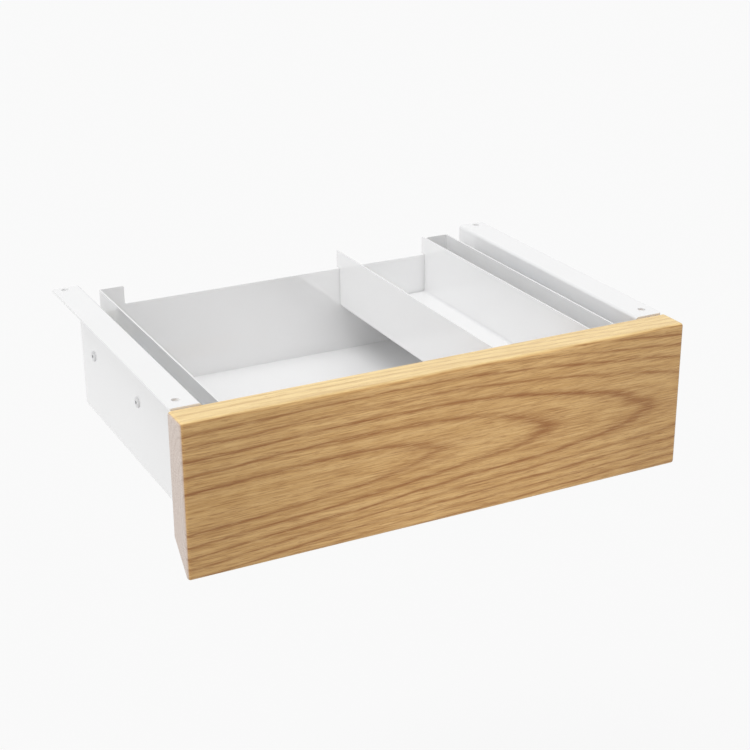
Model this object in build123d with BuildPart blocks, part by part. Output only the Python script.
from build123d import *
import os

# Under-desk drawer: two brackets, two ball-bearing slides, a sheet-metal box with an
# oak front, and a pen tray hung in the box.
# Millimetres. +Z is up, towards the desk. The drawer front faces -Y, left is -X.
# The origin is the centre of the four desk screw holes, in the plane where the
# bracket flanges lie against the underside of the desk.

# ------------------------------------------------------------ oak front
front_width = 350.0
front_height = 101.0
front_thick = 22.0
front_y = -142.5            # outer face
back_y = front_y + front_thick
front_top = -0.5            # running gap under the desk
front_bottom = front_top - front_height
front_round = 2.2           # rounding of every edge
bevel_height = 19.8         # finger pull along the lower rear edge
bevel_land = 3.2            # flat left under the bevel

# ------------------------------------------------------------ brackets and rivets
plate_in = 153.0            # inner face of each upright plate, from the middle
plate_t = 1.5
plate_height = 88.5
flange_width = 20.0
bracket_y0, bracket_y1 = -120.0, 114.0
bracket_bend = 1.25         # centre-line radius
bracket_corner = 1.5
desk_hole_x, desk_hole_y = 165.0, 109.0
desk_hole_r = 2.6
rivet_y = [-95.5 + 91.0 * i for i in range(3)]
rivet_r = 2.0
rivet_head_r, rivet_head_height = 3.7, 1.2
rivet_tail_r, rivet_tail_height = 2.9, 1.3
stem_hollow_r, stem_hollow_depth = 1.15, 0.9

# ------------------------------------------------------------ slides
# In slide sections, u runs from the left plate towards the drawer and v runs up
# from the slide's centre line.
slide_gap = 12.7            # standard side space of a ball-bearing slide
slide_z = -43.5             # centre line of the slides
slide_y0, slide_y1 = -115.5, 109.5
middle_y0, middle_y1 = -112.5, 97.5
inner_y0, inner_y1 = -115.0, 104.0
member_t = 1.2
outer_web_u = member_t / 2
middle_web_u = 3.6
inner_web_u = slide_gap - member_t / 2
member_bend = 1.4           # outer and intermediate members
inner_bend = 1.0
fit = 0.05                  # clearance around shanks, balls and the bumper
web_cut = 3.0               # length of cutters centred on a web

# Upper half of each centre line, from its free end to the web: (u, v)
outer_half = ((9.0, 20.4), (9.0, 22.25), (outer_web_u, 22.25))
middle_half = ((10.6, 14.8), (10.6, 16.95), (middle_web_u, 16.95))
inner_half = ((5.7, 13.6), (5.7, 12.45), (inner_web_u, 12.45))

# Rear bumper and the window for its snap
bumper_length, bumper_height, bumper_depth = 5.2, 28.0, 8.2
snap_y = slide_y1 - 2.5
window_length, window_height = 3.0, 6.0
snap_play = 0.2             # total, in both directions

# Ball retainers and balls
ball_count, ball_pitch = 8, 14.0
cage_length = 105.0
cage_t = 0.4
cage_bend = 0.8
cage_margin = (cage_length - (ball_count - 1) * ball_pitch) / 2
outer_cage_y0, inner_cage_y0 = -62.0, -58.0
outer_cage_web_u, inner_cage_web_u = 2.1, 4.65
outer_ball_r, outer_ball_u, outer_ball_v = 2.0, 5.6, 19.6
inner_ball_r, inner_ball_u, inner_ball_v = 1.6, 7.6, 14.7

# Release lever and its pin
lever_y = -30.0             # pivot
lever_u = 6.4               # face towards the plate
lever_t = 4.8
lever_boss_r = 5.6
lever_pin_r = 2.0
pin_head_r, pin_head_height = 3.4, 0.75
pin_u, pin_length = 5.6, 7.05
# Outline: (y from the pivot, v)
lever_outline = (
    (-22.0, 3.2), (-22.0, -9.0), (-16.5, -9.0), (-14.0, -3.4),
    (16.0, -2.4), (16.0, 8.0), (12.5, 8.0), (10.0, 2.6),
)

# ------------------------------------------------------------ drawer box
sheet = 1.0
box_out = plate_in - slide_gap   # outer face of each side wall, from the middle
box_in = box_out - sheet
box_y0, box_y1 = back_y, 111.5
box_top, box_bottom = -4.5, -84.5
box_corner = 1.3            # upright corners
box_bottom_round = 1.9
notch_half = 122.3          # half width of the notch in the front and rear walls
notch_z = -17.9
notch_round = 1.0
relief_r = 2.4

# ------------------------------------------------------------ screws
slide_screw_y = (-95.0, 20.0, 85.0)
slide_screw_r, slide_screw_length = 1.95, 6.0
slide_head_r, slide_head_height = 3.8, 2.1
front_screws_at = (         # (x, z)
    (-131.0, -20.0), (131.0, -20.0),
    (-131.0, -68.0), (-45.0, -68.0), (45.0, -68.0), (131.0, -68.0),
)
front_screw_r, front_screw_length = 1.7, 13.0
front_tip_r, front_tip_length = 0.3, 2.5
front_head_r, front_head_height = 3.5, 2.0
recess_slot, recess_depth = 0.8, 1.2
slide_recess_span, front_recess_span = 3.6, 3.4

# ------------------------------------------------------------ pen tray
tray_x0, tray_x1 = 47.0, 121.0
tray_bottom = -48.5
tray_bend = 2.5
tray_gap = 0.5              # to the front and rear walls, below the lugs
tray_y0 = box_y0 + sheet + tray_gap
tray_y1 = box_y1 - sheet - tray_gap
lug_y0, lug_y1 = -120.3, 115.0       # ends of the lugs that lie over the walls
lug_z = notch_z + fit
lug_round = 0.8

from_base = (Align.CENTER, Align.CENTER, Align.MIN)


# ============================================================ helpers
def from_plate(u):
    """X of a point u from the left plate towards the drawer."""
    return -plate_in + u


def from_line(v):
    """Z of a point v above the slide's centre line."""
    return slide_z + v


def section_at(y):
    """XZ plane at y; extrusions from it run forwards, to -Y."""
    return Plane.XZ.offset(-y)


def channel(half):
    """Full centre line of a slide channel from its upper half."""
    lower = [(from_plate(u), from_line(-v)) for u, v in half]
    upper = [(from_plate(u), from_line(v)) for u, v in reversed(half)]
    return lower + upper


def across(x, stations, toward=1):
    """Planes on the slide's centre line, facing +X or -X."""
    return [
        Plane((x, y, slide_z), x_dir=(0, 1, 0), z_dir=(toward, 0, 0)) for y in stations
    ]


def at_front_screws(y, toward):
    """Planes on the front screws' axes, facing +Y or -Y."""
    return [
        Plane((x, y, z), x_dir=(1, 0, 0), z_dir=(0, toward, 0)) for x, z in front_screws_at
    ]


def rods(radius, length, planes, mode=Mode.ADD):
    """One cylinder standing on each plane, in the active part."""
    with Locations(*planes):
        Cylinder(radius, length, align=from_base, mode=mode)


def web_plane(web_u):
    """Start plane of a cut through the web centred at web_u."""
    return Plane.YZ.offset(from_plate(web_u - web_cut / 2))


def web_holes(radius, web_u, stations):
    """Round holes through the web centred at web_u."""
    start = from_plate(web_u - web_cut / 2)
    rods(radius, web_cut, across(start, stations), Mode.SUBTRACT)


def ball_stations(cage_y0):
    """Y of each ball in a retainer whose front end is at cage_y0."""
    return [cage_y0 + cage_margin + ball_pitch * i for i in range(ball_count)]


def ball_holes(radius, ball_u, cage_y0):
    """Upright holes through both flanges of a retainer."""
    with Locations(*[(from_plate(ball_u), y, slide_z) for y in ball_stations(cage_y0)]):
        Cylinder(radius + fit, 60.0, mode=Mode.SUBTRACT)


def mirrored(part):
    """The right-hand copy of a left-hand part."""
    with BuildPart() as right:
        mirror(part, about=Plane.YZ)
    return right.part


def save(part, name):
    part.label = name
    export_step(part, f"parts/{name}.step")


# ============================================================ left-hand pieces
def make_bracket():
    plate_x = -plate_in - plate_t / 2
    with BuildPart() as bracket:
        with BuildSketch(section_at(bracket_y1)):
            with BuildLine():
                FilletPolyline(
                    (-plate_in - flange_width, -plate_t / 2),
                    (plate_x, -plate_t / 2),
                    (plate_x, -plate_height),
                    radius=bracket_bend,
                )
            trace(line_width=plate_t)
        extrude(amount=bracket_y1 - bracket_y0)
        # outer corners of the flange, then lower corners of the plate
        fillet(bracket.edges().filter_by(Axis.Z).group_by(Axis.X)[0], radius=bracket_corner)
        fillet(bracket.edges().filter_by(Axis.X).group_by(Axis.Z)[0], radius=bracket_corner)
        with Locations(*[(-desk_hole_x, s * desk_hole_y, -2.0) for s in (-1, 1)]):
            Cylinder(desk_hole_r, 4.0, mode=Mode.SUBTRACT)
        web_holes(rivet_r + fit, -plate_t / 2, rivet_y)
    return bracket.part


def make_bracket_rivets():
    plate_outer_x = -plate_in - plate_t
    hollow_lead = 0.1       # the cutter starts this far outside the head
    with BuildPart() as rivets:
        rods(rivet_head_r, rivet_head_height, across(plate_outer_x, rivet_y, toward=-1))
        fillet(rivets.edges().group_by(Axis.X)[0], radius=0.9)
        rods(rivet_r, plate_t + member_t, across(plate_outer_x, rivet_y))
        # formed tail inside the slide
        rods(rivet_tail_r, rivet_tail_height, across(from_plate(member_t), rivet_y))
        fillet(rivets.edges().group_by(Axis.X)[-1], radius=0.8)
        # hollow left by the pulled stem
        hollow_x = plate_outer_x - rivet_head_height - hollow_lead
        rods(
            stem_hollow_r, stem_hollow_depth + hollow_lead,
            across(hollow_x, rivet_y), Mode.SUBTRACT,
        )
    return rivets.part


def make_outer_member():
    with BuildPart() as member:
        with BuildSketch(section_at(slide_y1)):
            with BuildLine():
                FilletPolyline(*channel(outer_half), radius=member_bend)
            trace(line_width=member_t)
        extrude(amount=slide_y1 - slide_y0)
        web_holes(rivet_r + fit, outer_web_u, rivet_y)
        # spare slots and the window for the bumper's snap
        with BuildSketch(web_plane(outer_web_u)):
            with Locations(*[(y, slide_z) for y in (-70.0, 25.0, 60.0)]):
                SlotOverall(14.0, 5.0)
            with Locations((snap_y, slide_z)):
                Rectangle(window_length, window_height)
        extrude(amount=web_cut, mode=Mode.SUBTRACT)
        # stop tab pressed out of the web at the front
        with Locations((from_plate(1.45), slide_y0 + 1.3, slide_z)):
            Box(0.6, 1.8, 12.0)
    return member.part


def make_rear_bumper():
    body_u, snap_u = member_t + fit, 0.1
    with BuildPart() as bumper:
        with BuildSketch(Plane.YZ.offset(from_plate(body_u))):
            with Locations((slide_y1 - bumper_length / 2, slide_z)):
                RectangleRounded(bumper_length, bumper_height, 1.2)
        extrude(amount=bumper_depth)
        fillet(bumper.edges().group_by(Axis.X)[-1], radius=0.8)
        # snap; it runs a little way into the body
        with BuildSketch(Plane.YZ.offset(from_plate(snap_u))):
            with Locations((snap_y, slide_z)):
                Rectangle(window_length - snap_play, window_height - snap_play)
        extrude(amount=1.3)
    return bumper.part


def make_intermediate_member():
    with BuildPart() as member:
        with BuildSketch(section_at(middle_y1)):
            with BuildLine():
                FilletPolyline(*channel(middle_half), radius=member_bend)
            trace(line_width=member_t)
        extrude(amount=middle_y1 - middle_y0)
        # lightening slots in the web
        with BuildSketch(web_plane(middle_web_u)):
            with Locations((-70.0, slide_z), (60.0, slide_z)):
                SlotOverall(40.0, 9.0)
        extrude(amount=web_cut, mode=Mode.SUBTRACT)
    return member.part


def make_inner_member():
    with BuildPart() as member:
        with BuildSketch(section_at(inner_y1)):
            with BuildLine():
                FilletPolyline(*channel(inner_half), radius=inner_bend)
            trace(line_width=member_t)
        extrude(amount=inner_y1 - inner_y0)
        web_holes(slide_screw_r + fit, inner_web_u, slide_screw_y)
        web_holes(lever_pin_r + 0.02, inner_web_u, [lever_y])
    return member.part


def make_outer_retainer():
    half = ((8.1, outer_ball_v), (outer_cage_web_u, outer_ball_v))
    with BuildPart() as retainer:
        with BuildSketch(section_at(outer_cage_y0 + cage_length)):
            with BuildLine():
                FilletPolyline(*channel(half), radius=cage_bend)
            trace(line_width=cage_t)
        extrude(amount=cage_length)
        # the web is open at both ends so that it clears the rivets as it travels
        with BuildSketch(web_plane(outer_cage_web_u)):
            with Locations((-54.0, slide_z)):
                Rectangle(24.0, 24.0)
            with Locations((18.5, slide_z)):
                Rectangle(55.0, 24.0)
        extrude(amount=web_cut, mode=Mode.SUBTRACT)
        ball_holes(outer_ball_r, outer_ball_u, outer_cage_y0)
    return retainer.part


def make_inner_retainer():
    half = ((9.7, inner_ball_v), (inner_cage_web_u, inner_ball_v))
    with BuildPart() as retainer:
        with BuildSketch(section_at(inner_cage_y0 + cage_length)):
            with BuildLine():
                FilletPolyline(*channel(half), radius=cage_bend)
            trace(line_width=cage_t)
        extrude(amount=cage_length)
        # slots in the web
        with BuildSketch(web_plane(inner_cage_web_u)):
            with Locations((-28.0, slide_z), (17.0, slide_z)):
                SlotOverall(32.0, 12.0)
        extrude(amount=web_cut, mode=Mode.SUBTRACT)
        ball_holes(inner_ball_r, inner_ball_u, inner_cage_y0)
    return retainer.part


def make_balls(radius, ball_u, ball_v, cage_y0):
    centres = [
        (from_plate(ball_u), y, from_line(v))
        for y in ball_stations(cage_y0)
        for v in (-ball_v, ball_v)
    ]
    with BuildPart() as balls:
        with Locations(*centres):
            Sphere(radius)
    return balls.part


def make_release_lever():
    groove_y0, groove_pitch = lever_y - 20.0, 1.5
    with BuildPart() as lever:
        with BuildSketch(Plane.YZ.offset(from_plate(lever_u))) as profile:
            with BuildLine():
                Polyline(*[(lever_y + y, from_line(v)) for y, v in lever_outline], close=True)
            make_face()
            fillet(profile.vertices(), radius=1.0)
            with Locations((lever_y, slide_z)):
                Circle(lever_boss_r)
        extrude(amount=lever_t)
        # grip grooves on the finger end
        with Locations(*[
            (from_plate(lever_u), groove_y0 + groove_pitch * i, from_line(-3.0))
            for i in range(3)
        ]):
            Box(0.8, 0.6, 8.0, mode=Mode.SUBTRACT)
        rods(lever_pin_r + fit, 8.0, across(from_plate(5.0), [lever_y]), Mode.SUBTRACT)
    return lever.part


def make_lever_pin():
    base = across(from_plate(pin_u), [lever_y])
    with BuildPart() as pin:
        rods(pin_head_r, pin_head_height, base)
        rods(lever_pin_r, pin_length, base)
        fillet(pin.edges().group_by(Axis.X)[0], radius=0.4)
    return pin.part


def make_slide_screws():
    """Screws from inside the box into the slide, heads towards the middle."""
    with BuildPart() as screws:
        rods(slide_head_r, slide_head_height, across(-box_in, slide_screw_y))
        fillet(screws.edges().group_by(Axis.X)[-1], radius=1.2)
        rods(slide_screw_r, slide_screw_length, across(-box_in, slide_screw_y, toward=-1))
        chamfer(screws.edges().group_by(Axis.X)[0], length=0.5)
        # cross recess
        with Locations(*[(-box_in + slide_head_height, y, slide_z) for y in slide_screw_y]):
            Box(2 * recess_depth, recess_slot, slide_recess_span, mode=Mode.SUBTRACT)
            Box(2 * recess_depth, slide_recess_span, recess_slot, mode=Mode.SUBTRACT)
    return screws.part


# ============================================================ single pieces
def make_drawer_box():
    with BuildPart() as box:
        with BuildSketch(Plane.XY.offset(box_bottom)):
            with Locations((0, (box_y0 + box_y1) / 2)):
                Rectangle(2 * box_out, box_y1 - box_y0)
        extrude(amount=box_top - box_bottom)
        fillet(box.edges().filter_by(Axis.Z), radius=box_corner)
        fillet(box.edges().group_by(Axis.Z)[0], radius=box_bottom_round)
        offset(amount=-sheet, openings=box.faces().sort_by(Axis.Z)[-1])
        # notch in the front and rear walls; the tray hangs in it
        with BuildSketch(section_at(box_y1 + 5)) as notch:
            with Locations((0, notch_z)):
                Rectangle(2 * notch_half, 40.0, align=(Align.CENTER, Align.MIN))
            fillet(notch.vertices().group_by(Axis.Y)[0], radius=notch_round)
        extrude(amount=box_y1 - box_y0 + 10, mode=Mode.SUBTRACT)
        # softened corners of the four tabs beside the notch
        fillet(
            box.edges()
            .filter_by(Axis.Y)
            .filter_by(
                lambda e: abs(abs(e.center().X) - notch_half) < 0.1
                and abs(e.center().Z - box_top) < 0.1
            ),
            radius=notch_round,
        )
        # holes for the slide screws and the front screws
        side_planes = [
            plane
            for side in (-1, 1)
            for plane in across(side * (box_in - 2), slide_screw_y, toward=side)
        ]
        rods(2.05, 5.0, side_planes, Mode.SUBTRACT)
        rods(1.9, 5.0, at_front_screws(box_y0 - 2, toward=1), Mode.SUBTRACT)
        # bend reliefs in the four lower corners
        with Locations(*[
            (side * box_out, y, box_bottom) for side in (-1, 1) for y in (box_y0, box_y1)
        ]):
            Sphere(relief_r, mode=Mode.SUBTRACT)
    return box.part


def make_oak_front():
    with BuildPart() as front:
        with BuildSketch(Plane.YZ.offset(-front_width / 2)):
            with BuildLine():
                Polyline(
                    (front_y, front_top),
                    (back_y, front_top),
                    (back_y, front_bottom + bevel_height),
                    (front_y + bevel_land, front_bottom),
                    (front_y, front_bottom),
                    close=True,
                )
            make_face()
        extrude(amount=front_width)
        fillet(front.edges(), radius=front_round)
        # blind screw holes in the rear face
        rods(front_screw_r + fit, 16.5, at_front_screws(back_y + 1, toward=-1), Mode.SUBTRACT)
    return front.part


def make_front_screws():
    """Screws from inside the box forwards into the oak."""
    seat_y = box_y0 + sheet
    with BuildPart() as screws:
        rods(front_head_r, front_head_height, at_front_screws(seat_y, toward=1))
        fillet(screws.edges().group_by(Axis.Y)[-1], radius=1.1)
        rods(front_screw_r, front_screw_length, at_front_screws(seat_y, toward=-1))
        with Locations(*at_front_screws(seat_y - front_screw_length, toward=-1)):
            Cone(front_screw_r, front_tip_r, front_tip_length, align=from_base)
        # cross recess
        with Locations(*[(x, seat_y + front_head_height, z) for x, z in front_screws_at]):
            Box(recess_slot, 2 * recess_depth, front_recess_span, mode=Mode.SUBTRACT)
            Box(front_recess_span, 2 * recess_depth, recess_slot, mode=Mode.SUBTRACT)
    return screws.part


def make_pen_tray():
    left_x, right_x = tray_x0 + sheet / 2, tray_x1 - sheet / 2
    floor_z = tray_bottom + sheet / 2
    cut_z = tray_bottom - 5
    with BuildPart() as tray:
        with BuildSketch(section_at(lug_y1)):
            with BuildLine():
                FilletPolyline(
                    (left_x, box_top), (left_x, floor_z),
                    (right_x, floor_z), (right_x, box_top),
                    radius=tray_bend,
                )
            trace(line_width=sheet)
        extrude(amount=lug_y1 - lug_y0)
        # below the lugs the tray stops short of the drawer's front and rear walls
        with BuildSketch(Plane.YZ.offset(tray_x0 - 2)):
            for outside_y, end_y in ((lug_y0 - 5, tray_y0), (lug_y1 + 5, tray_y1)):
                with BuildLine():
                    Polyline(
                        (outside_y, lug_z), (end_y, lug_z),
                        (end_y, cut_z), (outside_y, cut_z),
                        close=True,
                    )
                make_face()
        extrude(amount=tray_x1 - tray_x0 + 4, mode=Mode.SUBTRACT)
        # softened upper corners of the lugs
        fillet(tray.edges().filter_by(Axis.X).group_by(Axis.Z)[-1], radius=lug_round)
    return tray.part


# ============================================================ export
paired_pieces = {
    "bracket": make_bracket(),
    "bracket_rivets": make_bracket_rivets(),
    "outer_member": make_outer_member(),
    "rear_bumper": make_rear_bumper(),
    "intermediate_member": make_intermediate_member(),
    "outer_retainer": make_outer_retainer(),
    "outer_balls": make_balls(outer_ball_r, outer_ball_u, outer_ball_v, outer_cage_y0),
    "inner_retainer": make_inner_retainer(),
    "inner_balls": make_balls(inner_ball_r, inner_ball_u, inner_ball_v, inner_cage_y0),
    "inner_member": make_inner_member(),
    "release_lever": make_release_lever(),
    "lever_pin": make_lever_pin(),
    "slide_screws": make_slide_screws(),
}
single_pieces = {
    "drawer_box": make_drawer_box(),
    "oak_front": make_oak_front(),
    "front_screws": make_front_screws(),
    "pen_tray": make_pen_tray(),
}

os.makedirs("parts", exist_ok=True)
for name, part in paired_pieces.items():
    save(part, f"left_{name}")
    save(mirrored(part), f"right_{name}")
for name, part in single_pieces.items():
    save(part, name)
